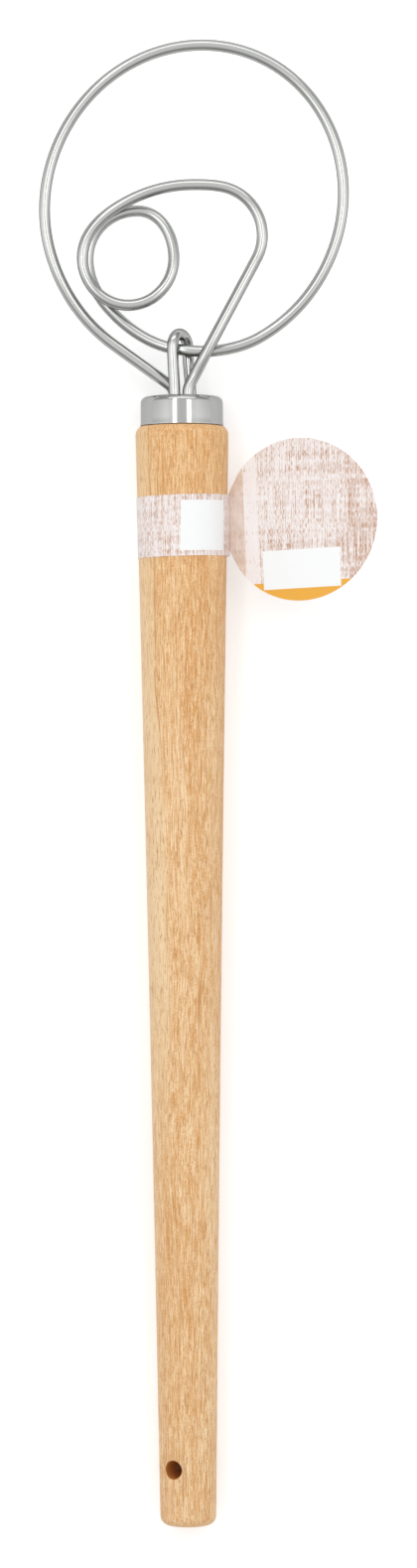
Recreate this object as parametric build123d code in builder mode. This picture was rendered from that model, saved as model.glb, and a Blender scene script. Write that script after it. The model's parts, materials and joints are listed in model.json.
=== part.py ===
from build123d import *
import os
from math import asin, atan, atan2, cos, degrees, pi, radians, sin, sqrt, tan

# Dough whisk: a long turned beech handle with a metal ferrule, one bent wire that makes
# a big loop, a coil and an inner loop, and a small hook wire that straddles the big loop.
# Every piece is made in the tool's own frame, in millimetres: X to the right, Y along the
# handle from its tail end to the loops, Z up from the side that lies on the table.
# At the end the whole tool is laid down, so that it rests on its tail and its label.

# Turned handle
handle_length = 295.6
head_diameter = 25.05
tail_diameter = 15.0
taper_hollow = 0.25
shoulder_drop = 2.3
ledge_margin = 0.1
tail_round = 2.4

# Hole to hang the tool by, turned away from the face that looks up
hang_hole_diameter = 5.0
hang_hole_from_tail = 15.6
hang_hole_turn = 31.0
hang_hole_break = 0.4

# Drawn ferrule over the handle's spigot
ferrule_diameter = 22.5
ferrule_flare = 0.15
ferrule_height = 8.1
ferrule_wall = 0.6
ferrule_top_round = 1.7
ferrule_edge_round = 0.2
ferrule_mouth = 10.7
seat_gap = 0.05

# Blind bore that takes the four wire ends, and the resin that fills it
bore_diameter = 10.5
bore_depth = 42.0
bore_point_angle = 118.0
resin_gap = 0.05
resin_recess = 0.5

# Spring wire, the same for the loops and for the hook
wire_diameter = 3.0
wire_gap = 0.45
straight_angle = 0.01

# Ends of the loop wire in the ferrule
wire_tail = 38.0
left_foot_x = -2.0
left_foot_z = -1.6
left_knee = 2.45
left_lean = 54.0
left_bend_radius = 4.0
left_run = 20.0
right_foot_x = 1.7
right_foot_z = 2.2
right_knee = 2.27
right_bend_radius = 6.0

# Big loop: an oval that leans to the right
loop_x = 3.6
loop_height = 52.7
loop_half_long = 42.6
loop_half_short = 39.7
loop_lean = 64.2
loop_first = 131.0
loop_last = -127.0
loop_stations = 7
loop_under_leg_x = 8.4
loop_under_leg_height = 12.3
loop_under_leg_heading = 185.5
loop_under_leg_z = 0.15
loop_in_hook_height = 12.75
loop_in_hook_heading = 171.5

# Coil of nearly two turns, the first behind and the second in front
coil_x = -14.2
coil_height = 37.5
coil_half_width = 12.3
coil_half_height = 12.9
coil_top_shift = 2.4
coil_inset = 1.4
coil_climb_rate = 1.5
coil_entry_x = -20.3
coil_entry_height = 25.0
coil_entry_heading = 129.5

# Inner loop, like a letter D
crest_x = 3.3
crest_height = 56.95
crest_radius = 37.6
crest_sweep = 27.0
corner_x = 8.65
corner_height = 43.3
corner_radius = 13.3

# Hook wire: a narrow U turned across the tool
hook_height = 16.95
hook_radius = 3.5
hook_turn = 55.0
hook_x = -0.35
hook_z = -0.3
hook_touch = 0.2
hook_foot_x = 0.28
hook_foot_z = -0.1
hook_foot_side = 2.16
hook_foot_depth = 2.25
hook_tail = 22.0

# Paper label: a band round the handle, and a round flag of two layers
label_below_head = 18.8
label_width = 16.4
label_paper = 0.15
label_gap = 0.03
label_pinch = 0.55
flag_diameter = 43.65
flag_bite = 1.2
flag_thickness = 0.25
flag_lift = 22.0
flag_turn = 3.4

# Derived sizes
face = handle_length + ferrule_height
wire_radius = wire_diameter / 2
wire_spacing = wire_diameter + wire_gap
taper_length = handle_length - shoulder_drop
spigot_radius = ferrule_diameter / 2 - ferrule_flare - ferrule_wall - seat_gap
spigot_height = ferrule_height - ferrule_wall - seat_gap
spigot_round = ferrule_top_round - ferrule_wall


def handle_radius(from_tail):
    """Radius of the hollow taper at a distance from the tail end."""
    share = from_tail / taper_length
    straight = tail_diameter / 2 + (head_diameter - tail_diameter) / 2 * share
    return straight - 4 * taper_hollow * share * (1 - share)


def across(height):
    """Plane across the tool, X as the tool's X and Y as its Z, facing the tail."""
    return Plane(origin=(0, height, 0), x_dir=(1, 0, 0), z_dir=(0, -1, 0))


def heading(angle, rise=0):
    """Unit direction at an angle in the tool's plan, climbing towards the viewer."""
    return Vector(cos(radians(angle)), sin(radians(angle)), rise).normalized()


def bend(start, way, end):
    """A line or a tangent arc from a point with a direction to the next point."""
    if way.get_angle(end - start) < straight_angle:
        Line(start, end)
    else:
        TangentArc(start, end, tangent=way)


def bend_through(stations):
    """Wire through stations of point and direction, two tangent arcs for each gap."""
    for (start, way), (end, onward) in zip(stations, stations[1:]):
        chord = end - start
        reach = chord.dot(way + onward)
        if way.get_angle(onward) < straight_angle:
            arm = chord.dot(chord) / (2 * reach)
        else:
            spread = 2 * (1 - way.dot(onward))
            arm = (sqrt(reach**2 + spread * chord.dot(chord)) - reach) / spread
        start_arm = start + way * arm
        end_arm = end - onward * arm
        middle = (start_arm + end_arm) / 2
        bend(start, way, middle)
        bend(middle, (end_arm - start_arm).normalized(), end)


# Handle
with BuildPart() as handle:
    with BuildSketch():
        with BuildLine():
            tail_edge = Line((0, 0), (tail_diameter / 2, 0))
            middle_radius = (tail_diameter + head_diameter) / 4
            taper_pull = (middle_radius - 2 * taper_hollow, taper_length / 2)
            taper_end = (head_diameter / 2, taper_length)
            taper = Bezier(tail_edge @ 1, taper_pull, taper_end)
            ledge_start = (ferrule_diameter / 2 + ledge_margin, handle_length)
            TangentArc(taper @ 1, Vector(*ledge_start), tangent=taper % 1)
            spigot_top = handle_length + spigot_height
            bore_end = spigot_top - bore_depth
            bore_point = bore_diameter / 2 / tan(radians(bore_point_angle / 2))
            Polyline(
                ledge_start,
                (spigot_radius, handle_length),
                (spigot_radius, spigot_top),
                (bore_diameter / 2, spigot_top),
                (bore_diameter / 2, bore_end),
                (0, bore_end - bore_point),
                (0, 0),
            )
        make_face()
        fillet(vertices().group_by(Axis.Y)[0].sort_by(Axis.X)[-1], tail_round)
        fillet(vertices().group_by(Axis.Y)[-1].sort_by(Axis.X)[-1], spigot_round)
    revolve(axis=Axis.Y)
    hang_way = Vector(-sin(radians(hang_hole_turn)), 0, cos(radians(hang_hole_turn)))
    hang_plane = Plane(origin=(0, hang_hole_from_tail, 0), z_dir=hang_way)
    with BuildSketch(hang_plane):
        Circle(hang_hole_diameter / 2)
    extrude(amount=head_diameter, both=True, mode=Mode.SUBTRACT)
    hang_wall = faces().filter_by(GeomType.CYLINDER).sort_by(Axis.Y)[0]
    chamfer(hang_wall.edges().filter_by(GeomType.LINE, reverse=True), hang_hole_break)

# Ferrule
with BuildPart() as ferrule:
    with BuildSketch():
        rim_radius = ferrule_diameter / 2
        neck_radius = rim_radius - ferrule_flare
        with BuildLine():
            Polyline(
                (rim_radius, handle_length + seat_gap),
                (neck_radius, face),
                (ferrule_mouth / 2, face),
                (ferrule_mouth / 2, face - ferrule_wall),
                (neck_radius - ferrule_wall, face - ferrule_wall),
                (rim_radius - ferrule_wall, handle_length + seat_gap),
                close=True,
            )
        make_face()
        fillet(vertices().group_by(Axis.Y)[-2].sort_by(Axis.X)[-1], spigot_round)
        fillet(vertices().group_by(Axis.Y)[-1].sort_by(Axis.X)[0], ferrule_edge_round)
        fillet(vertices().group_by(Axis.Y)[-1].sort_by(Axis.X)[-1], ferrule_top_round)
        fillet(vertices().group_by(Axis.Y)[0].sort_by(Axis.X)[-1], ferrule_edge_round)
    revolve(axis=Axis.Y)

# Stations of the loop wire: left foot, knee, leg
left_knee_arm = left_bend_radius * tan(radians(left_lean / 2))
left_way = 90 + left_lean
left_knee_at = Vector(left_foot_x, face + left_knee, left_foot_z)
left_foot = [
    (Vector(left_foot_x, face - wire_tail, left_foot_z), heading(90)),
    (left_knee_at - heading(90) * left_knee_arm, heading(90)),
    (left_knee_at + heading(left_way) * left_knee_arm, heading(left_way)),
    (left_knee_at + heading(left_way) * left_run, heading(left_way)),
]


def loop_station(turn):
    """Point and clockwise direction of the big loop, a turn after its long end."""
    long_way = heading(loop_lean)
    short_way = heading(loop_lean + 90)
    centre = Vector(loop_x, face + loop_height, 0)
    out = long_way * loop_half_long * cos(radians(turn))
    out += short_way * loop_half_short * sin(radians(turn))
    way = long_way * loop_half_long * sin(radians(turn))
    way -= short_way * loop_half_short * cos(radians(turn))
    return centre + out, way.normalized()


# Big loop, then under the inner leg and through the hook
loop_step = (loop_last - loop_first) / (loop_stations - 1)
big_loop = [loop_station(loop_first + loop_step * n) for n in range(loop_stations)]
hook_side = hook_radius * cos(radians(hook_turn))
hook_depth = hook_radius * sin(radians(hook_turn))
hook_slope = (wire_diameter + hook_touch - hook_depth) / hook_side
under_leg = Vector(loop_under_leg_x, face + loop_under_leg_height, loop_under_leg_z)
in_hook = Vector(hook_x, face + loop_in_hook_height, hook_z)
through_hook = [
    (under_leg, heading(loop_under_leg_heading)),
    (in_hook, heading(loop_in_hook_heading, -hook_slope)),
]

# Coil: behind from its entry to its top, in front from its bottom
back = -wire_spacing / 2
front = wire_spacing / 2
coil_y = face + coil_height
half_turn = pi / 2 * (coil_half_width + coil_half_height)
coil_climb = coil_climb_rate * wire_spacing / half_turn
coil = [
    (Vector(coil_entry_x, face + coil_entry_height, back), heading(coil_entry_heading)),
    (Vector(coil_x - coil_half_width + coil_inset, coil_y, back), heading(90)),
    (Vector(coil_x + coil_top_shift, coil_y + coil_half_height, back), heading(0)),
    (Vector(coil_x + coil_half_width, coil_y, 0), heading(-90, coil_climb)),
    (Vector(coil_x, coil_y - coil_half_height, front), heading(180)),
    (Vector(coil_x - coil_half_width, coil_y, front), heading(90)),
]

# Inner loop: crest, corner, and a straight leg that passes over the big loop
crest_way = 90 + crest_sweep
crest_centre = Vector(crest_x, face + crest_height - crest_radius, front)
corner = Vector(corner_x, face + corner_height, front)
right_knee_at = Vector(right_foot_x, face + right_knee, right_foot_z)
to_corner = Vector(corner_x - right_foot_x, corner_height - right_knee, 0)
leg_angle = degrees(
    atan2(to_corner.Y, to_corner.X) - asin(corner_radius / to_corner.length)
)
right_knee_arm = right_bend_radius * tan(radians((90 - leg_angle) / 2))
leg_end = corner + heading(leg_angle - 90) * corner_radius
leg_rise = loop_under_leg_height - right_knee
leg_over = Vector(
    right_foot_x + leg_rise / tan(radians(leg_angle)),
    face + loop_under_leg_height,
    loop_under_leg_z + wire_spacing,
)
turn_in = degrees(atan2(corner.Y - crest_centre.Y, corner.X - crest_centre.X))
inner_loop = [
    (crest_centre + heading(crest_way) * crest_radius, heading(crest_sweep)),
    (crest_centre + heading(90) * crest_radius, heading(0)),
    (corner + heading(turn_in) * corner_radius, heading(turn_in - 90)),
    (corner + heading(0) * corner_radius, heading(-90)),
    (leg_end, heading(leg_angle - 180)),
    (leg_over, heading(leg_angle - 180)),
    (right_knee_at + heading(leg_angle) * right_knee_arm, heading(leg_angle - 180)),
    (right_knee_at - heading(90) * right_knee_arm, heading(-90)),
    (Vector(right_foot_x, face - wire_tail, right_foot_z), heading(-90)),
]

# Loop wire
with BuildPart() as whisk_wire:
    with BuildLine() as wire_route:
        bend_through(left_foot + big_loop + through_hook + coil + inner_loop)
    with BuildSketch(Plane(origin=left_foot[0][0], z_dir=left_foot[0][1])):
        Circle(wire_radius)
    sweep()

# Hook wire
hook_way = Vector(cos(radians(hook_turn)), 0, -sin(radians(hook_turn)))
hook_up = heading(90)
crown = Vector(hook_x, face + hook_height - hook_radius, hook_z)
front_foot_x = hook_foot_x - hook_foot_side
front_foot_z = hook_foot_z + hook_foot_depth
back_foot_x = hook_foot_x + hook_foot_side
back_foot_z = hook_foot_z - hook_foot_depth
hook_stations = [
    (Vector(front_foot_x, face - hook_tail, front_foot_z), hook_up),
    (Vector(front_foot_x, face, front_foot_z), hook_up),
    (crown - hook_way * hook_radius, hook_up),
    (crown + hook_up * hook_radius, hook_way),
    (crown + hook_way * hook_radius, -hook_up),
    (Vector(back_foot_x, face, back_foot_z), -hook_up),
    (Vector(back_foot_x, face - hook_tail, back_foot_z), -hook_up),
]
with BuildPart() as hook_wire:
    with BuildLine() as hook_route:
        bend_through(hook_stations)
    with BuildSketch(Plane(origin=hook_stations[0][0], z_dir=hook_up)):
        Circle(wire_radius)
    sweep()

# Resin that holds the four wire ends in the bore
resin_top = face - resin_recess
with BuildPart() as resin_plug:
    with BuildSketch(across(resin_top)):
        Circle(bore_diameter / 2 - resin_gap)
    extrude(amount=resin_top - bore_end)
    for foot_x, foot_z, tail in (
        (left_foot_x, left_foot_z, wire_tail),
        (right_foot_x, right_foot_z, wire_tail),
        (front_foot_x, front_foot_z, hook_tail),
        (back_foot_x, back_foot_z, hook_tail),
    ):
        with BuildSketch(across(resin_top)):
            with Locations((foot_x, foot_z)):
                Circle(wire_radius + resin_gap)
        extrude(amount=tail - resin_recess + resin_gap, mode=Mode.SUBTRACT)


def teardrop(from_tail, outward):
    """Section of the band: round the handle and drawn out to the flag's root."""
    inner = handle_radius(from_tail) + label_gap
    touch = inner**2 / label_root
    side = inner * sqrt(1 - (inner / label_root) ** 2)
    with BuildSketch(across(from_tail), mode=Mode.PRIVATE) as section:
        Circle(inner)
        with BuildLine():
            Polyline((touch, side), (label_root, 0), (touch, -side), close=True)
        make_face()
        if outward:
            offset(amount=outward)
    return section.sketch


# Paper label
label_end = handle_length - label_below_head
label_start = label_end - label_width
label_middle = (label_start + label_end) / 2
label_root = handle_radius(label_middle) + label_pinch
flag_reach = flag_diameter / 2 - flag_bite
with BuildPart() as wrap_label:
    outside = [teardrop(end, label_paper) for end in (label_start, label_end)]
    loft(outside, ruled=True)
    inside = [teardrop(end, 0) for end in (label_start, label_end)]
    loft(inside, ruled=True, mode=Mode.SUBTRACT)
    flag_out = Vector(cos(radians(flag_lift)), 0, sin(radians(flag_lift)))
    flag_up = Vector(-sin(radians(flag_lift)), 0, cos(radians(flag_lift)))
    root = Vector(label_root, label_middle, 0)
    with BuildSketch(Plane(origin=root, x_dir=flag_out, z_dir=flag_up)):
        flag_y = flag_reach * sin(radians(flag_turn))
        with Locations((flag_reach * cos(radians(flag_turn)), flag_y)):
            Circle(flag_diameter / 2)
        with Locations((-flag_diameter / 2, flag_y)):
            Rectangle(flag_diameter, flag_diameter, mode=Mode.SUBTRACT)
    extrude(amount=flag_thickness / 2, both=True)

# Lay the tool down on its tail and the edge of its label
label_radius = handle_radius(label_end) + label_gap + label_paper
contact_length = label_end - tail_round
tilt = degrees(atan((label_radius - handle_radius(tail_round)) / contact_length))
laid = Location((0, 0, 0), (tilt, 0, 0))
pieces = (handle, ferrule, whisk_wire, hook_wire, resin_plug, wrap_label)
reach = Compound(children=[piece.part.moved(laid) for piece in pieces]).bounding_box()
at_rest = Location((-reach.center().X, -reach.center().Y, -reach.min.Z)) * laid
for piece in pieces:
    piece.part.location = at_rest

handle.part.label = "handle"
ferrule.part.label = "ferrule"
whisk_wire.part.label = "whisk_wire"
hook_wire.part.label = "hook_wire"
resin_plug.part.label = "resin_plug"
wrap_label.part.label = "wrap_label"

os.makedirs("parts", exist_ok=True)
export_step(handle.part, "parts/handle.step")
export_step(ferrule.part, "parts/ferrule.step")
export_step(whisk_wire.part, "parts/whisk_wire.step")
export_step(hook_wire.part, "parts/hook_wire.step")
export_step(resin_plug.part, "parts/resin_plug.step")
export_step(wrap_label.part, "parts/wrap_label.step")


def own_gap(wire):
    """Least gap of a bent wire to itself, on points a quarter of its diameter apart."""
    count = round(4 * wire.length / wire_diameter)
    points = [wire @ (n / count) for n in range(count + 1)]
    apart = 4 * 3
    return min(
        (other - point).length - wire_diameter
        for n, point in enumerate(points)
        for other in points[n + apart:]
    )


for name, piece, route in (
    ("whisk wire", whisk_wire, wire_route),
    ("hook wire", hook_wire, hook_route),
):
    wire = route.wire()
    section = pi * wire_radius**2
    radii = [edge.radius for edge in wire.edges().filter_by(GeomType.CIRCLE)]
    print(name, "length", round(wire.length, 1), "mm in", len(radii), "arcs")
    print(name, "least gap to itself", round(own_gap(wire), 2), "mm")
    print(name, "tightest bend", round(min(radii), 2), "mm")
    print(name, "volume share", round(piece.part.volume / section / wire.length, 5))
print("tilt", round(tilt, 3), "degrees, moved by", at_rest.position)
print("overall", Compound(children=[piece.part for piece in pieces]).bounding_box().size)
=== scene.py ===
# %% [markdown]
# A dough whisk is a turned beech handle, a metal ferrule, and one long wire bent into a big
# loop, a coil and an inner loop. A short second wire hooks the big loop to the handle.
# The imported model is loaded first. It is the fixed frame: it says where each piece is, and
# every piece made here rides on its one body, root.

# %% Load the frame
import json
from math import cos, pi, radians, sin, sqrt, tan

import bmesh
import bpy
from mathutils import Matrix, Vector
from mathutils.geometry import interpolate_bezier


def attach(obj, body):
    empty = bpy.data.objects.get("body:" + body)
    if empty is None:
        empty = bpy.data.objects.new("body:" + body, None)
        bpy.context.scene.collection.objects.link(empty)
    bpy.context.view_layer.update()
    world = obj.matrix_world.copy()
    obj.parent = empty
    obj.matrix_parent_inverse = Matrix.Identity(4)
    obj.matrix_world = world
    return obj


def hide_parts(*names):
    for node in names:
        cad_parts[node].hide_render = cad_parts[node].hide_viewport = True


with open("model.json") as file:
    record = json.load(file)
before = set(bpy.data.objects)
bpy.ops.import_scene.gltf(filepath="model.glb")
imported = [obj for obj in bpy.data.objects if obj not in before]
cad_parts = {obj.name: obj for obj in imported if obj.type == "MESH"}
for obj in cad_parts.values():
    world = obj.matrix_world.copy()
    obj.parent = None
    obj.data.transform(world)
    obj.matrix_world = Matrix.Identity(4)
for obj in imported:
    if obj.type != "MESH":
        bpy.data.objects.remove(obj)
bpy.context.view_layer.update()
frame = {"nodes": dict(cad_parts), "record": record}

# %% [markdown]
# The tool lies on a table, resting on its tail and on its paper label, so it slopes by one
# degree. Modelling on a slope is awkward. Each piece is therefore made in the tool's own
# millimetres: X to the right, Y from the tail end to the loops, Z up. One matrix then lays
# it down. The record's flat tail face says where the tool starts and which way it points.

# %% The tool's own frame
MM = 0.001
mounts = {mount["name"]: mount for mount in frame["record"]["mounts"]}
tail = Vector(mounts["tail_end"]["pos_m"])
along = -Vector(mounts["tail_end"]["axis"]).normalized()
right = Vector((1, 0, 0))
up = right.cross(along)
PLACE = Matrix.Translation(tail) @ Matrix((right, along, up)).transposed().to_4x4()
TOOL = PLACE @ Matrix.Scale(MM, 4)
slope = along.angle(Vector((0, 1, 0)))
print("the tool slopes by", round(slope * 180 / pi, 3), "degrees")

# %% [markdown]
# The photograph was taken from straight above, from about 1.25 m, so the loops and the tail
# are both seen a little from the middle of the handle. A long lens at that distance gives
# the same outline. The small roll is the tilt of the tool in the picture.

# %% Camera
eye_distance = 1254.0
view_height = 422.4
view_centre = (6.6, 199.39)
view_roll = radians(0.338)
lens = bpy.data.cameras.new("camera")
lens.sensor_fit = "VERTICAL"
lens.sensor_height = 36
lens.lens = lens.sensor_height * eye_distance / view_height
lens.clip_end = 20
camera = bpy.data.objects.new("camera", lens)
bpy.context.collection.objects.link(camera)
eye = Vector((*view_centre, eye_distance)) * MM
camera.matrix_world = PLACE @ Matrix.Translation(eye) @ Matrix.Rotation(-view_roll, 4, "Z")
bpy.context.scene.camera = camera
print("lens", round(lens.lens, 1), "mm")

# %% [markdown]
# Materials are small node trees. Five short helpers keep them readable: shade turns the
# eye's colour numbers into light, add makes a node, finish_of starts a material, effect
# starts a node group, and use places a finished group in a tree.

# %% Helpers for node trees
def shade(red, green, blue):
    """A colour as the eye names it, 0 to 255, turned into the light that Blender mixes."""
    levels = [value / 255 for value in (red, green, blue)]
    return (*[v / 12.92 if v <= 0.04045 else ((v + 0.055) / 1.055) ** 2.4 for v in levels], 1)


def add(tree, kind, settings=None, **inputs):
    """Adds a node. Inputs are values or other nodes' outputs, by number (_0) or by name."""
    node = tree.nodes.new(kind)
    for name, value in (settings or {}).items():
        setattr(node, name, value)
    for name, value in inputs.items():
        socket = node.inputs[int(name[1:]) if name[0] == "_" else name.replace("_", " ")]
        if isinstance(value, bpy.types.NodeSocket):
            tree.links.new(value, socket)
        else:
            socket.default_value = value
    node.location = (220 * len(tree.nodes), 0)
    return node


def finish_of(name, **surface):
    """A new material with one Principled shader, its plain numbers set on its own sockets."""
    material = bpy.data.materials.new(name)
    material.use_nodes = True
    shader = material.node_tree.nodes["Principled BSDF"]
    for socket, value in surface.items():
        shader.inputs[socket.replace("_", " ")].default_value = value
    return material, material.node_tree, shader


def effect(name, inputs, outputs):
    """An empty node group with named sockets: (name, kind, default) in, (name, kind) out."""
    group = bpy.data.node_groups.new(name, "ShaderNodeTree")
    for socket, kind, value in inputs:
        made = group.interface.new_socket(socket, in_out="INPUT", socket_type=kind)
        made.default_value = value
    for socket, kind in outputs:
        group.interface.new_socket(socket, in_out="OUTPUT", socket_type=kind)
    return group, group.nodes.new("NodeGroupInput"), group.nodes.new("NodeGroupOutput")


def use(tree, group, **inputs):
    """Places a finished effect in a material."""
    return add(tree, "ShaderNodeGroup", {"node_tree": group}, **inputs)


print("the eye's middle grey as light:", round(shade(128, 128, 128)[0], 3))


# %% [markdown]
# Grain, drawn metal and worn print are the same thing at three scales: noise that is much
# longer one way than the other. One group makes it. It takes a place in millimetres and the
# size of a grain along each axis, and gives a smooth value and a mask of the highest peaks.
# A second group gives the place itself, in the tool's own millimetres, so that the patterns
# lie along the tool and not along the room.

# %% Effect: stretched grain
noise_detail, fleck_fade = 2.5, 0.09
grain, taken, given = effect(
    "stretched_grain",
    [("Place", "NodeSocketVector", (0, 0, 0)), ("Grain Size", "NodeSocketVector", (1, 1, 1)),
     ("Fleck Level", "NodeSocketFloat", 0.62)],
    [("Value", "NodeSocketFloat"), ("Flecks", "NodeSocketFloat")],
)
squeezed = add(grain, "ShaderNodeVectorMath", {"operation": "DIVIDE"},
               _0=taken.outputs["Place"], _1=taken.outputs["Grain Size"])
noise = add(grain, "ShaderNodeTexNoise", Vector=squeezed.outputs[0], Scale=1.0,
            Detail=noise_detail)
fleck_top = add(grain, "ShaderNodeMath", {"operation": "ADD"},
                _0=taken.outputs["Fleck Level"], _1=fleck_fade)
flecks = add(grain, "ShaderNodeMapRange", Value=noise.outputs["Fac"],
             From_Min=taken.outputs["Fleck Level"], From_Max=fleck_top.outputs[0])
grain.links.new(noise.outputs["Fac"], given.inputs["Value"])
grain.links.new(flecks.outputs[0], given.inputs["Flecks"])
print(grain.name, "has", len(grain.nodes), "nodes")

# %% Effect: place on the tool, in millimetres
on_tool, taken, given = effect("place_on_tool", [], [("Place", "NodeSocketVector")])
place = add(on_tool, "ShaderNodeTexCoord")
back = (PLACE.inverted() @ Vector((0, 0, 0))) / MM
turned = add(on_tool, "ShaderNodeMapping", Vector=place.outputs["Object"], Location=back,
             Rotation=(-slope, 0, 0), Scale=(1 / MM, 1 / MM, 1 / MM))
on_tool.links.new(turned.outputs[0], given.inputs["Place"])
print("the room's origin on the tool, mm:", [round(value, 1) for value in back])

# %% [markdown]
# Beech has a warm even ground, with bands a few millimetres wide where the growth rings
# reach the surface, hair-fine fibres, a few long veins, and short brown flecks: the rays, cut
# across. On this handle a paler strip of wood runs down the left, with a fine dark line beside
# its top. The pattern is solid, so it carries on round the back and over the rounded tail,
# where the wood is cut across and shows less of it. The wall of the hang hole is painted a
# darker brown: painted shade inside the hole.

# %% Finish: beech, its figure
sway_width = 5.0
beech, tree, shader = finish_of("beech", Roughness=0.5)
at = use(tree, on_tool).outputs["Place"]
sway = use(tree, grain, Place=at, Grain_Size=(9, 60, 9)).outputs["Value"]
shift = add(tree, "ShaderNodeCombineXYZ", X=add(
    tree, "ShaderNodeMath", {"operation": "MULTIPLY"}, _0=sway, _1=sway_width).outputs[0])
swayed = add(tree, "ShaderNodeVectorMath", {"operation": "ADD"},
             _0=at, _1=shift.outputs[0]).outputs[0]
rings = use(tree, grain, Place=swayed, Grain_Size=(3.0, 150, 6))
patches = use(tree, grain, Place=swayed, Grain_Size=(1.1, 12, 1.4))
threads = use(tree, grain, Place=swayed, Grain_Size=(0.16, 14, 0.16))
fibres = use(tree, grain, Place=swayed, Grain_Size=(0.16, 3.4, 0.16))
pores = use(tree, grain, Place=swayed, Grain_Size=(0.16, 0.55, 0.16))
rays = use(tree, grain, Place=swayed, Grain_Size=(0.28, 2.8, 0.28), Fleck_Level=0.58)
specks = use(tree, grain, Place=swayed, Grain_Size=(0.7, 1.4, 0.7), Fleck_Level=0.77)
veins = use(tree, grain, Place=swayed, Grain_Size=(0.3, 22, 0.3), Fleck_Level=0.6)
figure = 0.0
for layer, weight in ((rings, 1.1), (patches, 0.3), (threads, 3.5), (fibres, 2.8), (pores, 2.3)):
    figure = add(tree, "ShaderNodeMath", {"operation": "MULTIPLY_ADD"},
                 _0=layer.outputs["Value"], _1=weight, _2=figure).outputs[0]
print("beech figure:", len(tree.nodes), "nodes")

# %% Finish: beech, its ground colour and the paler strip
strip_lean, strip_full, strip_gone, strip_share = 0.035, 2.9, 4.0, 0.6
strip_foot, strip_top = 90.0, 150.0
warm_foot, warm_top = 212.0, 290.0
tone = add(tree, "ShaderNodeMapRange", Value=figure, From_Min=4.4, From_Max=5.6)
ground = add(tree, "ShaderNodeValToRGB", Fac=tone.outputs[0])
ground.color_ramp.elements[0].color = shade(210, 149, 82)
ground.color_ramp.elements[1].color = shade(247, 218, 177)
ground.color_ramp.elements.new(0.5).color = shade(233, 191, 139)
split = add(tree, "ShaderNodeSeparateXYZ", _0=swayed)
leaning = add(tree, "ShaderNodeMath", {"operation": "MULTIPLY_ADD"},
              _0=split.outputs["Y"], _1=strip_lean, _2=split.outputs["X"])
strip = add(tree, "ShaderNodeMapRange", Value=leaning.outputs[0],
            From_Min=strip_gone, From_Max=strip_full, To_Max=strip_share)
upper = add(tree, "ShaderNodeMapRange", Value=split.outputs["Y"],
            From_Min=strip_foot, From_Max=strip_top)
strip_mask = add(tree, "ShaderNodeMath", {"operation": "MULTIPLY"},
                 _0=strip.outputs[0], _1=upper.outputs[0])
pale = add(tree, "ShaderNodeMix", {"data_type": "RGBA"}, _0=strip_mask.outputs[0],
           _6=ground.outputs[0], _7=shade(242, 214, 172))
near_head = add(tree, "ShaderNodeMapRange", Value=split.outputs["Y"],
                From_Min=warm_foot, From_Max=warm_top)
warm = add(tree, "ShaderNodeMix", {"data_type": "RGBA", "blend_type": "MULTIPLY"},
           _0=near_head.outputs[0], _6=pale.outputs[2], _7=(0.96, 0.9, 0.8, 1))
print("beech with its ground:", len(tree.nodes), "nodes")

# %% Finish: beech, its dark flecks and the line beside the strip
seam_place, seam_half = 3.7, 0.16
seam_foot, seam_full = 190.0, 225.0
fleck_strength = 0.75
beside_strip = add(tree, "ShaderNodeMath", {"operation": "COMPARE"},
                   _0=leaning.outputs[0], _1=seam_place, _2=seam_half)
broken_line = use(tree, grain, Place=swayed, Grain_Size=(40, 16, 40), Fleck_Level=0.32)
seam = add(tree, "ShaderNodeMath", {"operation": "MULTIPLY"},
           _0=beside_strip.outputs[0], _1=broken_line.outputs["Flecks"])
seam_top = add(tree, "ShaderNodeMapRange", Value=split.outputs["Y"],
               From_Min=seam_foot, From_Max=seam_full)
seam = add(tree, "ShaderNodeMath", {"operation": "MULTIPLY"},
           _0=seam.outputs[0], _1=seam_top.outputs[0])
dark = add(tree, "ShaderNodeMath", {"operation": "MAXIMUM"},
           _0=rays.outputs["Flecks"], _1=specks.outputs["Flecks"])
for lines in (seam.outputs[0], veins.outputs["Flecks"]):
    dark = add(tree, "ShaderNodeMath", {"operation": "MAXIMUM"}, _0=dark.outputs[0], _1=lines)
fleck_mask = add(tree, "ShaderNodeMath", {"operation": "MULTIPLY"},
                 _0=dark.outputs[0], _1=fleck_strength)
flecked = add(tree, "ShaderNodeMix", {"data_type": "RGBA"}, _0=fleck_mask.outputs[0],
              _6=warm.outputs[2], _7=shade(186, 127, 68))
print("beech with its flecks:", len(tree.nodes), "nodes")

# %% Finish: beech, its cut ends and painted shade in the drilled hole
hole_height, hole_turn, hole_radius = 15.6, radians(31), 2.5
wall_full, wall_gone = 0.05, 0.12
facing = add(tree, "ShaderNodeTexCoord")
lengthwise = add(tree, "ShaderNodeVectorMath", {"operation": "DOT_PRODUCT"},
                 _0=facing.outputs["Normal"], _1=along)
endways = add(tree, "ShaderNodeMath", {"operation": "ABSOLUTE"},
              _0=lengthwise.outputs["Value"])
cut_across = add(tree, "ShaderNodeMapRange", Value=endways.outputs[0],
                 From_Min=0.55, From_Max=1.0, To_Max=0.7)
end_grain = add(tree, "ShaderNodeMix", {"data_type": "RGBA"}, _0=cut_across.outputs[0],
                _6=flecked.outputs[2], _7=shade(219, 172, 118))
down_hole = add(tree, "ShaderNodeMapping", {"vector_type": "TEXTURE"}, Vector=at,
                Location=(0, hole_height, 0), Rotation=(0, -hole_turn, 0))
flat_down = add(tree, "ShaderNodeVectorMath", {"operation": "MULTIPLY"},
                _0=down_hole.outputs[0], _1=(1, 1, 0))
off_axis = add(tree, "ShaderNodeVectorMath", {"operation": "LENGTH"}, _0=flat_down.outputs[0])
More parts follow.
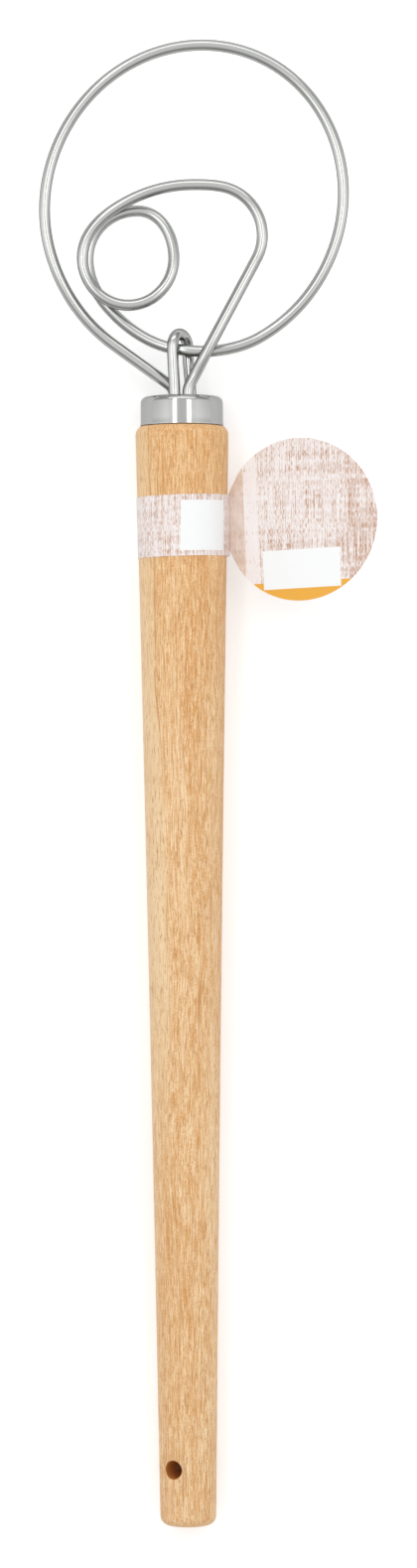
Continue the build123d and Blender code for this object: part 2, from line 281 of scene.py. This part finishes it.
# Painted shade: the wall of the hang hole is coloured a darker brown, standing in for the shade
# inside the hole.
hole_shade_mask = add(tree, "ShaderNodeMapRange", Value=off_axis.outputs["Value"],
              From_Min=hole_radius + wall_gone, From_Max=hole_radius + wall_full)
hole_shaded_color = add(tree, "ShaderNodeMix", {"data_type": "RGBA"}, _0=hole_shade_mask.outputs[0],
                    _6=end_grain.outputs[2], _7=shade(184, 114, 52))
relief = add(tree, "ShaderNodeBump", Strength=0.25, Distance=0.0001,
             Height=fibres.outputs["Value"])
tree.links.new(hole_shaded_color.outputs[2], shader.inputs["Base Color"])
tree.links.new(relief.outputs[0], shader.inputs["Normal"])
print("beech in all:", len(tree.nodes), "nodes")

# %% [markdown]
# The ferrule is drawn from plated sheet and buffed on a lathe, so its faint lines run round
# it. The wire is drawn through a die and polished, so its shine only changes slowly along it.
# Both are bare metal with a smooth shader.

# %% Finish: buffed ferrule
ferrule_metal, tree, shader = finish_of(
    "buffed_ferrule", Metallic=1.0, Base_Color=shade(177, 178, 176),
    Specular_Tint=shade(235, 235, 235))
at = use(tree, on_tool).outputs["Place"]
lathe_lines = use(tree, grain, Place=at, Grain_Size=(14, 0.11, 14))
smears = use(tree, grain, Place=at, Grain_Size=(3, 3, 3))
shine = add(tree, "ShaderNodeMapRange", Value=smears.outputs["Value"],
            From_Min=0.3, From_Max=0.7, To_Min=0.07, To_Max=0.13)
relief = add(tree, "ShaderNodeBump", Strength=0.12, Distance=0.00005,
             Height=lathe_lines.outputs["Value"])
tree.links.new(shine.outputs[0], shader.inputs["Roughness"])
tree.links.new(relief.outputs[0], shader.inputs["Normal"])
print(ferrule_metal.name, "has", len(tree.nodes), "nodes")

# %% Finish: drawn wire
wire_thickness = 3.0
print("one turn round the wire is", round(pi * wire_thickness, 2), "mm")


def drawn_wire(name, length):
    """Polished wire of a known length, whose UV map runs round it and along it."""
    material, tree, shader = finish_of(name, Metallic=1.0, Base_Color=shade(188, 189, 187),
                                       Specular_Tint=shade(70, 70, 70))
    chart = add(tree, "ShaderNodeUVMap", {"uv_map": "UVMap"})
    spread = add(tree, "ShaderNodeMapping", Vector=chart.outputs[0],
                 Scale=(pi * wire_thickness, length, 1))
    rubbed = use(tree, grain, Place=spread.outputs[0], Grain_Size=(2, 9, 1))
    shine = add(tree, "ShaderNodeMapRange", Value=rubbed.outputs["Value"],
                From_Min=0.3, From_Max=0.7, To_Min=0.12, To_Max=0.2)
    tree.links.new(shine.outputs[0], shader.inputs["Roughness"])
    return material


# %% [markdown]
# The resin was poured round the wire ends and set hard. It is a cloudy beige with an uneven
# skin. Two close colours mixed by soft noise are enough for so small a disc, and the same
# noise lifts its surface a little.

# %% Finish: cured resin
resin, tree, shader = finish_of("cured_resin", Roughness=0.28, IOR=1.55)
at = use(tree, on_tool).outputs["Place"]
clouds = use(tree, grain, Place=at, Grain_Size=(1.6, 1.6, 1.6))
tint = add(tree, "ShaderNodeMix", {"data_type": "RGBA"}, _0=clouds.outputs["Value"],
           _6=shade(150, 136, 108), _7=shade(186, 174, 146))
relief = add(tree, "ShaderNodeBump", Strength=0.5, Distance=0.0003,
             Height=clouds.outputs["Value"])
tree.links.new(tint.outputs[2], shader.inputs["Base Color"])
tree.links.new(relief.outputs[0], shader.inputs["Normal"])
print(resin.name, "has", len(tree.nodes), "nodes")

# %% [markdown]
# A piece starts as a bmesh in tool millimetres. The first helper lays it down, smooths it
# but keeps its real edges, and hides the CAD part that it stands for. The others draw a
# profile, round its corners, spin it, and turn a shape or a modified object into a mesh.

# %% Helpers for pieces
edge_angle = radians(32)
weld_distance = 0.0005


def piece_from(mesh, name, node, slot, *materials):
    """Makes a finished object at the origin that rides on the root body."""
    mesh.transform(TOOL)
    mesh.name = name
    mesh.shade_smooth()
    mesh.set_sharp_from_angle(angle=edge_angle)
    if materials:
        mesh.materials.clear()
    for material in materials:
        mesh.materials.append(material)
    piece = bpy.data.objects.new(name, mesh)
    bpy.context.collection.objects.link(piece)
    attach(piece, "root")
    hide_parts(node)
    print(name, len(mesh.polygons), "faces")


def profile_line(points, closed=False):
    """A bmesh with one line of vertices through (radius, height) points."""
    shape = bmesh.new()
    corners = [shape.verts.new((radius, height, 0)) for radius, height in points]
    for start, end in zip(corners, corners[1:] + corners[:1] if closed else corners[1:]):
        shape.edges.new((start, end))
    return shape, corners


def soften(shape, corner, size, steps=6):
    """Rounds one corner of a profile line."""
    bmesh.ops.bevel(shape, geom=[corner], offset=size, affect="VERTICES",
                    segments=steps, profile=0.5, material=-1)


def turn_on_lathe(shape, steps=128):
    """Spins a profile line round the tool's axis and closes its poles."""
    bmesh.ops.spin(shape, geom=shape.verts[:] + shape.edges[:], cent=(0, 0, 0),
                   axis=(0, 1, 0), angle=2 * pi, steps=steps, use_merge=True)
    bmesh.ops.remove_doubles(shape, verts=shape.verts, dist=weld_distance)
    bmesh.ops.dissolve_degenerate(shape, edges=shape.edges, dist=weld_distance)
    bmesh.ops.recalc_face_normals(shape, faces=shape.faces)


def mesh_of(shape):
    """Hands a bmesh over to a new mesh."""
    mesh = bpy.data.meshes.new("shape")
    shape.to_mesh(mesh)
    shape.free()
    return mesh


def worked_out(thing):
    """The mesh of an object with its modifiers applied. The object itself is thrown away."""
    ready = bpy.context.evaluated_depsgraph_get()
    mesh = bpy.data.meshes.new_from_object(thing.evaluated_get(ready))
    bpy.data.objects.remove(thing)
    return mesh


print("edges over", round(edge_angle * 180 / pi), "degrees stay sharp")

# %% [markdown]
# The handle is a lathe piece. Its taper is slightly hollow, its shoulder rolls over to the
# ferrule, and its head has a spigot for the ferrule and a bore for the wires. The profile
# has few corners. The long side is divided, so that the hang hole cuts only small faces.

# %% Handle
handle_length, taper_length = 295.6, 293.3
tail_radius, head_radius = 7.5, 12.525
hollow = 0.25
spigot_radius, spigot_end = 10.45, 303.05
bore_radius, bore_floor, bore_point = 5.25, 261.05, 257.9
shoulder_edge, tail_round, spigot_round = 11.35, 2.4, 1.1


def handle_radius(height):
    """Radius of the hollow taper at a distance from the tail end."""
    share = height / taper_length
    return tail_radius + (head_radius - tail_radius) * share - 4 * hollow * share * (1 - share)


taper = [(handle_radius(height), height) for height in range(6, 293, 4)]
shoulder = interpolate_bezier((head_radius, taper_length, 0), (head_radius, 294.2, 0),
                              (12.09, 295.07, 0), (shoulder_edge, handle_length, 0), 9)
profile = [(0, 0), (tail_radius, 0)] + taper + [(p.x, p.y) for p in shoulder]
profile += [(spigot_radius, handle_length), (spigot_radius, spigot_end)]
profile += [(bore_radius, spigot_end), (bore_radius, bore_floor), (0, bore_point)]
shape, corners = profile_line(profile)
tail_corner, spigot_corner = corners[1], corners[-4]
soften(shape, tail_corner, tail_round, 8)
soften(shape, spigot_corner, spigot_round)
turn_on_lathe(shape)
handle_mesh = mesh_of(shape)
print("the profile of the handle has", len(profile), "corners")

# %% Hang hole, drilled 31 degrees off the face that looks up
drill_length, broken_edge = 40, 0.3
drill = bmesh.new()
bmesh.ops.create_cone(drill, cap_ends=True, segments=64, radius1=hole_radius,
                      radius2=hole_radius, depth=drill_length)
way = Matrix.Translation((0, hole_height, 0)) @ Matrix.Rotation(-hole_turn, 4, "Y")
bmesh.ops.transform(drill, matrix=way, verts=drill.verts)
blank = bpy.data.objects.new("blank", handle_mesh)
bit = bpy.data.objects.new("bit", mesh_of(drill))
for thing in (blank, bit):
    bpy.context.collection.objects.link(thing)
cut = blank.modifiers.new("hang_hole", "BOOLEAN")
cut.object, cut.operation, cut.solver = bit, "DIFFERENCE", "EXACT"
broken = blank.modifiers.new("broken_edges", "BEVEL")
broken.width, broken.segments, broken.limit_method = broken_edge, 2, "ANGLE"
broken.angle_limit = radians(50)
piece_from(worked_out(blank), "turned_handle", "handle", "beech", beech)
bpy.data.objects.remove(bit)

# %% [markdown]
# The ferrule is a drawn cap: a thin wall, a rolled top and a round mouth for the wires. Its
# closed profile is rounded corner by corner and then spun.

# %% Ferrule
cap_foot, cap_top, lid_underside = 295.8, 303.7, 303.1
foot_radius, cap_radius, mouth_radius = 11.25, 11.1, 5.35
foot_inside, cap_inside = 10.6, 10.5
flare = interpolate_bezier((foot_radius, cap_foot, 0), (11.16, 296.6, 0), (11.12, 297.0, 0),
                           (11.11, 297.8, 0), 6)
outline = [(p.x, p.y) for p in flare]
outline += [(cap_radius, cap_top), (mouth_radius, cap_top), (mouth_radius, lid_underside)]
outline += [(cap_inside, lid_underside), (foot_inside, cap_foot)]
rounding = (0.15, 1.7, 0.2, 0.1, 1.1, 0.1)
shape, corners = profile_line(outline, closed=True)
for corner, size in zip([corners[0]] + corners[-5:], rounding):
    soften(shape, corner, size, 8 if size > 1 else 3)
turn_on_lathe(shape, 160)
piece_from(mesh_of(shape), "drawn_ferrule", "ferrule", "ferrule_metal", ferrule_metal)

# %% [markdown]
# A bent wire is known by its stations: where it is, and which way it heads there. A maker's
# bending jig works the same way. Each station is x, y and z in millimetres, the heading in
# the plan in degrees, and the climb towards the viewer. A Bezier curve through them, with
# handles sized for an even bend, gives a tube without flats or kinks.

# %% Stations of the long wire
left_leg = [(-2.00, 265.70, -1.60, 90.0, 0), (-2.00, 304.11, -1.60, 90.0, 0),
            (-3.65, 307.35, -1.60, 144.0, 0), (-18.18, 317.91, -1.60, 144.0, 0)]
big_loop = [(-35.54, 344.28, 0, 103.2, 0), (-31.47, 375.01, 0, 62.3, 0),
            (-8.56, 395.74, 0, 21.2, 0), (20.88, 395.33, 0, -23.7, 0),
            (41.04, 374.01, 0, -68.8, 0), (41.08, 343.23, 0, -110.2, 0),
            (20.99, 319.52, 0, -150.9, 0)]
through_hook = [(8.40, 316.00, 0.15, -174.5, 0), (-0.35, 316.45, -0.30, 171.5, -0.164)]
coil = [(-20.30, 328.70, -1.73, 129.5, 0), (-25.10, 341.20, -1.73, 90.0, 0),
        (-11.80, 354.10, -1.73, 0.0, 0), (-1.90, 341.20, 0, -90.0, 0.130),
        (-14.20, 328.30, 1.73, 180.0, 0), (-26.50, 341.20, 1.73, 90.0, 0)]
inner_loop = [(-13.77, 356.55, 1.73, 27.0, 0), (3.30, 360.65, 1.73, 0.0, 0),
              (11.55, 359.98, 1.73, -12.6, 0), (21.95, 347.00, 1.73, -90.0, 0),
              (20.37, 340.70, 1.73, -118.3, 0), (7.09, 316.00, 3.60, -118.3, 0),
              (2.41, 307.30, 2.20, -118.3, 0), (1.70, 304.46, 2.20, -90.0, 0),
              (1.70, 265.70, 2.20, -90.0, 0)]
hook = [(-1.88, 281.70, 2.15, 90.0, 0), (-1.88, 303.70, 2.15, 90.0, 0),
        (-2.36, 317.15, 2.57, 90.0, 0), (-0.35, 320.65, -0.30, 0.0, -0.819),
        (1.66, 317.15, -3.17, -90.0, 0), (2.44, 303.70, -2.35, -90.0, 0),
        (2.44, 281.70, -2.35, -90.0, 0)]
print("the coil has", len(coil), "stations and the inner loop", len(inner_loop))

# %% Bend a wire
nearly_straight = 0.001


def heading(angle, climb):
    """Unit direction at an angle in the plan, climbing towards the viewer."""
    flat = sqrt(1 - climb**2)
    return Vector((cos(radians(angle)) * flat, sin(radians(angle)) * flat, climb))


def bend_wire(name, stations, node):
    """Makes a round tube through the stations, as one mesh with closed ends."""
    curve = bpy.data.curves.new(name, "CURVE")
    curve.dimensions = "3D"
    curve.bevel_depth = wire_thickness / 2
    curve.bevel_resolution = 10
    curve.use_fill_caps = True
    curve.resolution_u = 16
    line = curve.splines.new("BEZIER")
    line.bezier_points.add(len(stations) - 1)
    places = [Vector(station[:3]) for station in stations]
    ways = [heading(*station[3:]) for station in stations]
    for point, place in zip(line.bezier_points, places):
        point.handle_left_type = point.handle_right_type = "FREE"
        point.co = point.handle_left = point.handle_right = place
    for number in range(len(stations) - 1):
        start, end = places[number], places[number + 1]
        turn = ways[number].angle(ways[number + 1], 0)
        bulge = 1 / 3
        if turn > nearly_straight:
            bulge = tan(turn / 4) * 4 / 3 / (2 * sin(turn / 2))
        arm = (end - start).length * bulge
        line.bezier_points[number].handle_right = start + ways[number] * arm
        line.bezier_points[number + 1].handle_left = end - ways[number + 1] * arm
    length = line.calc_length()
    holder = bpy.data.objects.new(name, curve)
    mesh = bpy.data.meshes.new_from_object(holder)
    bpy.data.objects.remove(holder)
    print(name, "is", round(length, 1), "mm long")
    piece_from(mesh, name, node, "wire_steel", drawn_wire(name + "_steel", length))


long_wire = left_leg + big_loop + through_hook + coil + inner_loop
bend_wire("loop_wire", long_wire, "whisk_wire")
bend_wire("hook", hook, "hook_wire")

# %% [markdown]
# Of the resin that holds the wires, only a plain disc shows, inside the ferrule's mouth. Its
# CAD solid has the right shape, so it stays, with a better finish.

# %% Resin
plug = frame["nodes"]["resin_plug"]
plug.data.materials.clear()
plug.data.materials.append(resin)
print("the resin keeps its", len(plug.data.polygons), "faces")

# %% [markdown]
# The label is one die-cut sticker. Its band goes round the handle, pinches together at the
# right, and runs on as two layers glued back to back: the round flag. The print is worn,
# whitewashed boards, with a plain white panel on the band and another on the flag, and a
# yellow foot. Panels and boards are needed on both parts, so each is an effect.

# %% Effect: blank panel
soft_edge = 0.03
panel, taken, given = effect(
    "blank_panel",
    [("Place", "NodeSocketVector", (0, 0, 0)), ("Centre", "NodeSocketVector", (0, 0, 0)),
     ("Turn", "NodeSocketFloat", 0.0), ("Half Size", "NodeSocketVector", (1, 1, 1))],
    [("Mask", "NodeSocketFloat")],
)
turned = add(panel, "ShaderNodeVectorRotate", {"rotation_type": "Z_AXIS"},
             Vector=taken.outputs["Place"], Center=taken.outputs["Centre"],
             Angle=taken.outputs["Turn"])
offset = add(panel, "ShaderNodeVectorMath", {"operation": "SUBTRACT"},
             _0=turned.outputs[0], _1=taken.outputs["Centre"])
depth = add(panel, "ShaderNodeVectorMath", {"operation": "ABSOLUTE"}, _0=offset.outputs[0])
room = add(panel, "ShaderNodeVectorMath", {"operation": "SUBTRACT"},
           _0=taken.outputs["Half Size"], _1=depth.outputs[0])
sides = add(panel, "ShaderNodeSeparateXYZ", _0=room.outputs[0])
least = add(panel, "ShaderNodeMath", {"operation": "MINIMUM"},
            _0=sides.outputs["X"], _1=sides.outputs["Y"])
edge = add(panel, "ShaderNodeMapRange", Value=least.outputs[0],
           From_Min=-soft_edge, From_Max=soft_edge)
panel.links.new(edge.outputs[0], given.inputs["Mask"])
print(panel.name, "has", len(panel.nodes), "nodes")

# %% Effect: whitewashed boards
boards, taken, given = effect(
    "whitewashed_boards",
    [("Place", "NodeSocketVector", (0, 0, 0)), ("Bare", "NodeSocketFloat", 0.0)],
    [("Color", "NodeSocketColor")],
)
scuffs = use(boards, grain, Place=taken.outputs["Place"], Grain_Size=(0.16, 1.3, 1))
wood_lines = use(boards, grain, Place=taken.outputs["Place"], Grain_Size=(0.2, 12, 1))
strokes = use(boards, grain, Place=taken.outputs["Place"], Grain_Size=(30, 2.2, 1))
clouds = use(boards, grain, Place=taken.outputs["Place"], Grain_Size=(2.2, 12, 1))
mixed = taken.outputs["Bare"]
for layer, weight in ((scuffs, 1.9), (wood_lines, 1.8), (clouds, 0.5), (strokes, -0.6)):
    mixed = add(boards, "ShaderNodeMath", {"operation": "MULTIPLY_ADD"},
                _0=layer.outputs["Value"], _1=weight, _2=mixed).outputs[0]
worn = add(boards, "ShaderNodeMapRange", Value=mixed, From_Min=1.74, From_Max=2.15)
paint = add(boards, "ShaderNodeMix", {"data_type": "RGBA"}, _0=clouds.outputs["Value"],
            _6=shade(238, 227, 224), _7=shade(250, 247, 247))
bare_wood = add(boards, "ShaderNodeMix", {"data_type": "RGBA"}, _0=wood_lines.outputs["Value"],
                _6=shade(222, 184, 156), _7=shade(160, 106, 74))
wash = add(boards, "ShaderNodeMix", {"data_type": "RGBA"}, _0=worn.outputs[0],
           _6=paint.outputs[2], _7=bare_wood.outputs[2])
boards.links.new(wash.outputs[2], given.inputs["Color"])
print(boards.name, "has", len(boards.nodes), "nodes")

# %% Finish: printed paper, and the band's print
panel_white = shade(245, 247, 247)
foot_yellow = shade(235, 171, 56)
near_brown = shade(222, 198, 180)
any_depth = 9


def printed_paper(name):
    """Satin paper whose UV map is in millimetres on the flat sticker."""
    material, tree, shader = finish_of(name, Roughness=0.42)
    chart = add(tree, "ShaderNodeUVMap", {"uv_map": "sticker"}).outputs[0]
    return material, tree, shader, chart


def covered(tree, under, mask, color):
    """Lays one flat colour of print over another where the mask says so."""
    return add(tree, "ShaderNodeMix", {"data_type": "RGBA"}, _0=mask, _6=under,
               _7=color).outputs[2]


band_paper, tree, shader, chart = printed_paper("printed_band")
print_color = use(tree, boards, Place=chart, Bare=0.02).outputs["Color"]
band_panel = use(tree, panel, Place=chart, Centre=(12.5, -0.1, 0), Turn=0.0,
                 Half_Size=(7.0, 6.7, any_depth)).outputs["Mask"]
print_color = covered(tree, print_color, band_panel, panel_white)
tree.links.new(print_color, shader.inputs["Base Color"])
print(band_paper.name, "has", len(tree.nodes), "nodes")

# %% Finish: the flag's print, whose chart starts at x = 100 where the paper is pinched
chart_start = 100
board_lean, board_height = radians(-2.0), 60
less_worn, more_worn, brown_share = -0.28, 0.14, 0.65
flag_paper, tree, shader, chart = printed_paper("printed_flag")


def patch(middle, half_size):
    """A leaning rectangle of the flag's print, as a mask."""
    return use(tree, panel, Place=chart, Centre=(*middle, 0), Turn=board_lean,
               Half_Size=(*half_size, any_depth)).outputs["Mask"]


near_board = patch((74.6, 0), (30, board_height))
far_board = patch((164.1, 0), (30, board_height))
fresh_edge = patch((106.6, 0), (2, board_height))
flag_panel = patch((121.1, -12.0), (11.05, 5.2))
yellow_foot = patch((118, -35.55), (60, 20))
fresh = add(tree, "ShaderNodeMath", {"operation": "MULTIPLY"}, _0=fresh_edge, _1=less_worn)
bare = add(tree, "ShaderNodeMath", {"operation": "MULTIPLY_ADD"},
           _0=far_board, _1=more_worn, _2=fresh.outputs[0])
print_color = use(tree, boards, Place=chart, Bare=bare.outputs[0]).outputs["Color"]
near_print = add(tree, "ShaderNodeMath", {"operation": "MULTIPLY"},
                 _0=near_board, _1=brown_share)
print_color = covered(tree, print_color, near_print.outputs[0], near_brown)
print_color = covered(tree, print_color, yellow_foot, foot_yellow)
print_color = covered(tree, print_color, flag_panel, panel_white)
tree.links.new(print_color, shader.inputs["Base Color"])
print(flag_paper.name, "has", len(tree.nodes), "nodes")

# %% Finish: the plainer back of the paper
back_paper, tree, shader, chart = printed_paper("printed_back")
print_color = use(tree, boards, Place=chart, Bare=-0.1).outputs["Color"]
tree.links.new(print_color, shader.inputs["Base Color"])
print(back_paper.name, "has", len(tree.nodes), "nodes")

# %% [markdown]
# The band is a flat strip wrapped round the taper. It follows a teardrop: straight from the
# pinch to the wood, round the handle, and straight back to the pinch. The flag is a disc
# spun from its radius and cut off where the pinch is. Paper is never quite flat, so the flag
# bows a little and is creased next to the pinch.

# %% Label
label_start, label_end = 260.4, 276.8
label_middle = (label_start + label_end) / 2
pinch_gap, glue_gap, parting = 0.55, 0.03, 0.02
pinch = handle_radius(label_middle) + pinch_gap
strip_slant = 0.025


def wrap(run, height):
    """Place on the band, and the way there: run is the share of the way from the pinch and back."""
    radius = handle_radius(height) + glue_gap
    meet = sqrt(pinch**2 - radius**2)
    corner = Vector((radius**2 / pinch, radius * meet / pinch))
    start = corner.angle(Vector((1, 0)))
    arc = radius * (2 * pi - 2 * start)
    way = run * (2 * meet + arc)
    if way < meet:
        spot = Vector((pinch, parting)).lerp(corner, way / meet)
    elif way > meet + arc:
        last = (way - meet - arc) / meet
        spot = Vector((corner.x, -corner.y)).lerp(Vector((pinch, -parting)), last)
    else:
        turn = start + (way - meet) / radius
        spot = Vector((cos(turn), sin(turn))) * radius
    return Vector((spot.x, height + strip_slant * spot.x, spot.y)), way


label = bmesh.new()
sticker = label.loops.layers.uv.new("sticker")
bmesh.ops.create_grid(label, x_segments=180, y_segments=8, size=0.5)
flat = {}
for vertex in label.verts:
    run, height = vertex.co.x + 0.5, label_middle + vertex.co.y * (label_end - label_start)
    vertex.co, way = wrap(run, height)
    flat[vertex] = (way, height - label_middle)
for face in label.faces:
    for loop in face.loops:
        loop[sticker].uv = flat[loop.vert]
label.normal_update()
top = max(label.faces, key=lambda face: face.calc_center_median().z)
if top.normal.z < 0:
    bmesh.ops.reverse_faces(label, faces=label.faces)
print("band", len(label.faces), "faces")

# %% Flag of the label
flag_radius, flag_reach, flag_turn = 21.825, 20.625, radians(3.4)
flag_lift = radians(22)
bow_height, bow_start = 0.7, 3.0
crease_depth, crease_reach = 0.35, 2.2
ripple_across, ripple_out = 0.9, 0.25
centre = Vector((flag_reach * cos(flag_turn), flag_reach * sin(flag_turn), 0))
spoke = bmesh.new()
ends = [spoke.verts.new(centre), spoke.verts.new(centre + Vector((flag_radius, 0, 0)))]
line = spoke.edges.new(ends)
bmesh.ops.subdivide_edges(spoke, edges=[line], cuts=27)
bmesh.ops.spin(spoke, geom=spoke.verts[:] + spoke.edges[:], cent=centre, axis=(0, 0, 1),
               angle=2 * pi, steps=120, use_merge=True)
bmesh.ops.remove_doubles(spoke, verts=spoke.verts, dist=weld_distance)
bmesh.ops.dissolve_degenerate(spoke, edges=spoke.edges, dist=weld_distance)
bmesh.ops.bisect_plane(spoke, geom=spoke.verts[:] + spoke.edges[:] + spoke.faces[:],
                       plane_co=(0, 0, 0), plane_no=(-1, 0, 0), clear_outer=True)
bmesh.ops.recalc_face_normals(spoke, faces=spoke.faces)
if spoke.faces[0].normal.z < 0:
    bmesh.ops.reverse_faces(spoke, faces=spoke.faces)
sticker = spoke.loops.layers.uv.new("sticker")
for face in spoke.faces:
    for loop in face.loops:
        loop[sticker].uv = (chart_start + loop.vert.co.x, loop.vert.co.y)
for vertex in spoke.verts:
    out, side = vertex.co.x, vertex.co.y
    fade = min(out / bow_start, 1)
    bow = bow_height * (1 - ((out - flag_reach) / flag_radius) ** 2) * fade
    ripple = sin(side * ripple_across + out * ripple_out)
    crease = crease_depth * ripple * max(0, 1 - abs(out - crease_reach) / crease_reach)
    vertex.co.z = bow + crease
hinge = Matrix.Translation((pinch, label_middle + strip_slant * pinch, 0))
hinge = hinge @ Matrix.Rotation(-flag_lift, 4, "Y")
bmesh.ops.transform(spoke, matrix=hinge, verts=spoke.verts)
print("flag", len(spoke.faces), "faces")

# %% Thicken the sticker
one_layer, two_layers = 0.15, 0.25


def paper_sheet(shape, name, thickness, side, face_paper):
    """Gives a flat shape its thickness: the print on its face, plainer paper behind."""
    sheet = bpy.data.objects.new(name, mesh_of(shape))
    bpy.context.collection.objects.link(sheet)
    for finish in (face_paper, back_paper):
        sheet.data.materials.append(finish)
    layers = sheet.modifiers.new("layers", "SOLIDIFY")
    layers.thickness, layers.offset = thickness, side
    layers.material_offset = layers.material_offset_rim = 1
    piece_from(worked_out(sheet), name, "wrap_label", "label_paper")


paper_sheet(label, "label_band", one_layer, 1, band_paper)
paper_sheet(spoke, "label_flag", two_layers, 0, flag_paper)

# %% [markdown]
# The studio is a pale table, a long softbox on the left, a short one on the right, a broad one
# past the loops, and a white room. The two at the sides give the bright lines down the ferrule
# and the wires. The table is close to white for the camera and for reflections alike, and it
# keeps a soft shadow.

# %% Table
table_half_width = 3
mirror_lift, camera_lift = 0.14, 0.36
floor_shape = bmesh.new()
bmesh.ops.create_grid(floor_shape, x_segments=1, y_segments=1, size=table_half_width)
table = bpy.data.objects.new("table", mesh_of(floor_shape))
bpy.context.collection.objects.link(table)
table_top, tree, shader = finish_of("table_top", Base_Color=shade(236, 236, 236), Roughness=0.9)
shader.inputs["Specular IOR Level"].default_value = 0
shader.inputs["Emission Color"].default_value = (1, 1, 1, 1)
ray = add(tree, "ShaderNodeLightPath")
mirrored = add(tree, "ShaderNodeMath", {"operation": "MAXIMUM"},
               _0=ray.outputs["Is Glossy Ray"], _1=ray.outputs["Is Transmission Ray"])
dimmer = add(tree, "ShaderNodeMath", {"operation": "MULTIPLY"},
             _0=mirrored.outputs[0], _1=mirror_lift)
lifted = add(tree, "ShaderNodeMath", {"operation": "MULTIPLY_ADD"},
             _0=ray.outputs["Is Camera Ray"], _1=camera_lift, _2=dimmer.outputs[0])
tree.links.new(lifted.outputs[0], shader.inputs["Emission Strength"])
table.data.materials.append(table_top)
print("the table is", 2 * table_half_width, "m wide")

# %% Softboxes
box_distance = 1.15
for name, axis, angle, shift, width, length, power in (
    ("softbox_left", "Y", -19.5, 0.45, 0.2, 1.0, 1.6),
    ("softbox_right", "Y", 20, 0.28, 0.2, 0.38, 0.62),
    ("softbox_head", "X", -54, 0.05, 1.3, 0.34, 2.2),
):
    box = bpy.data.lights.new(name, "AREA")
    box.shape, box.size, box.size_y, box.energy = "RECTANGLE", width, length, power
    lamp = bpy.data.objects.new(name, box)
    bpy.context.collection.objects.link(lamp)
    away = Matrix.Rotation(radians(angle), 4, axis) @ Matrix.Translation((0, 0, box_distance))
    lamp.matrix_world = Matrix.Translation((0, shift, 0)) @ away
    print(name, "gives", power, "W")

# %% [markdown]
# The room is white, but metal shows more of it: a dim end behind the tail, a bright end past
# the loops, side walls that are brightest behind the softboxes, and darker corners. The
# corners give the slanting wires their dark side.

# %% Room
world = bpy.data.worlds.new("room")
bpy.context.scene.world = world
world.use_nodes = True
tree = world.node_tree
tree.nodes.clear()


def wall_ramp(direction, *steps):
    """Brightness by how far a direction points along an axis, as (place, level) steps."""
    ramp = add(tree, "ShaderNodeValToRGB", Fac=direction)
    ramp.color_ramp.elements.remove(ramp.color_ramp.elements[1])
    for number, (place, level) in enumerate(steps):
        step = ramp.color_ramp.elements.new(place) if number else ramp.color_ramp.elements[0]
        step.position, step.color = place, (level, level, level, 1)
    return ramp.outputs[0]


look = add(tree, "ShaderNodeTexCoord")
way = add(tree, "ShaderNodeSeparateXYZ", _0=look.outputs["Generated"])
along_tool = add(tree, "ShaderNodeMapRange", Value=way.outputs["Y"], From_Min=-1.0, From_Max=1.0)
beside = add(tree, "ShaderNodeMath", {"operation": "ABSOLUTE"}, _0=way.outputs["X"])
ends = wall_ramp(along_tool.outputs[0], (0.0, 0.28), (0.07, 0.5), (0.19, 0.84), (0.35, 1.0))
sides = wall_ramp(beside.outputs[0], (0.1, 0.5), (0.3, 0.62), (0.5, 0.72), (0.7, 0.82),
                  (0.87, 0.75), (1.0, 0.66))
walls = add(tree, "ShaderNodeMath", {"operation": "MULTIPLY"}, _0=ends, _1=sides)
askew = add(tree, "ShaderNodeMath", {"operation": "MULTIPLY"},
            _0=way.outputs["X"], _1=way.outputs["Y"])
askew = add(tree, "ShaderNodeMath", {"operation": "ABSOLUTE"}, _0=askew.outputs[0])
corners = add(tree, "ShaderNodeMapRange", Value=askew.outputs[0],
              From_Max=0.45, To_Min=1.0, To_Max=0.3)
walls = add(tree, "ShaderNodeMath", {"operation": "MULTIPLY"},
            _0=walls.outputs[0], _1=corners.outputs[0])
ray = add(tree, "ShaderNodeLightPath")
soft = add(tree, "ShaderNodeBackground", Color=(1, 1, 1, 1), Strength=0.84)
seen = add(tree, "ShaderNodeBackground", Color=(1, 1, 1, 1), Strength=1.0)
mirrored = add(tree, "ShaderNodeBackground", Color=walls.outputs[0], Strength=2.0)
metal_sees = add(tree, "ShaderNodeMixShader", _0=ray.outputs["Is Glossy Ray"],
                 _1=soft.outputs[0], _2=mirrored.outputs[0])
camera_sees = add(tree, "ShaderNodeMixShader", _0=ray.outputs["Is Camera Ray"],
                  _1=metal_sees.outputs[0], _2=seen.outputs[0])
add(tree, "ShaderNodeOutputWorld", Surface=camera_sees.outputs[0])
bpy.context.scene.view_settings.view_transform = "Standard"
print("the room has", len(tree.nodes), "nodes")
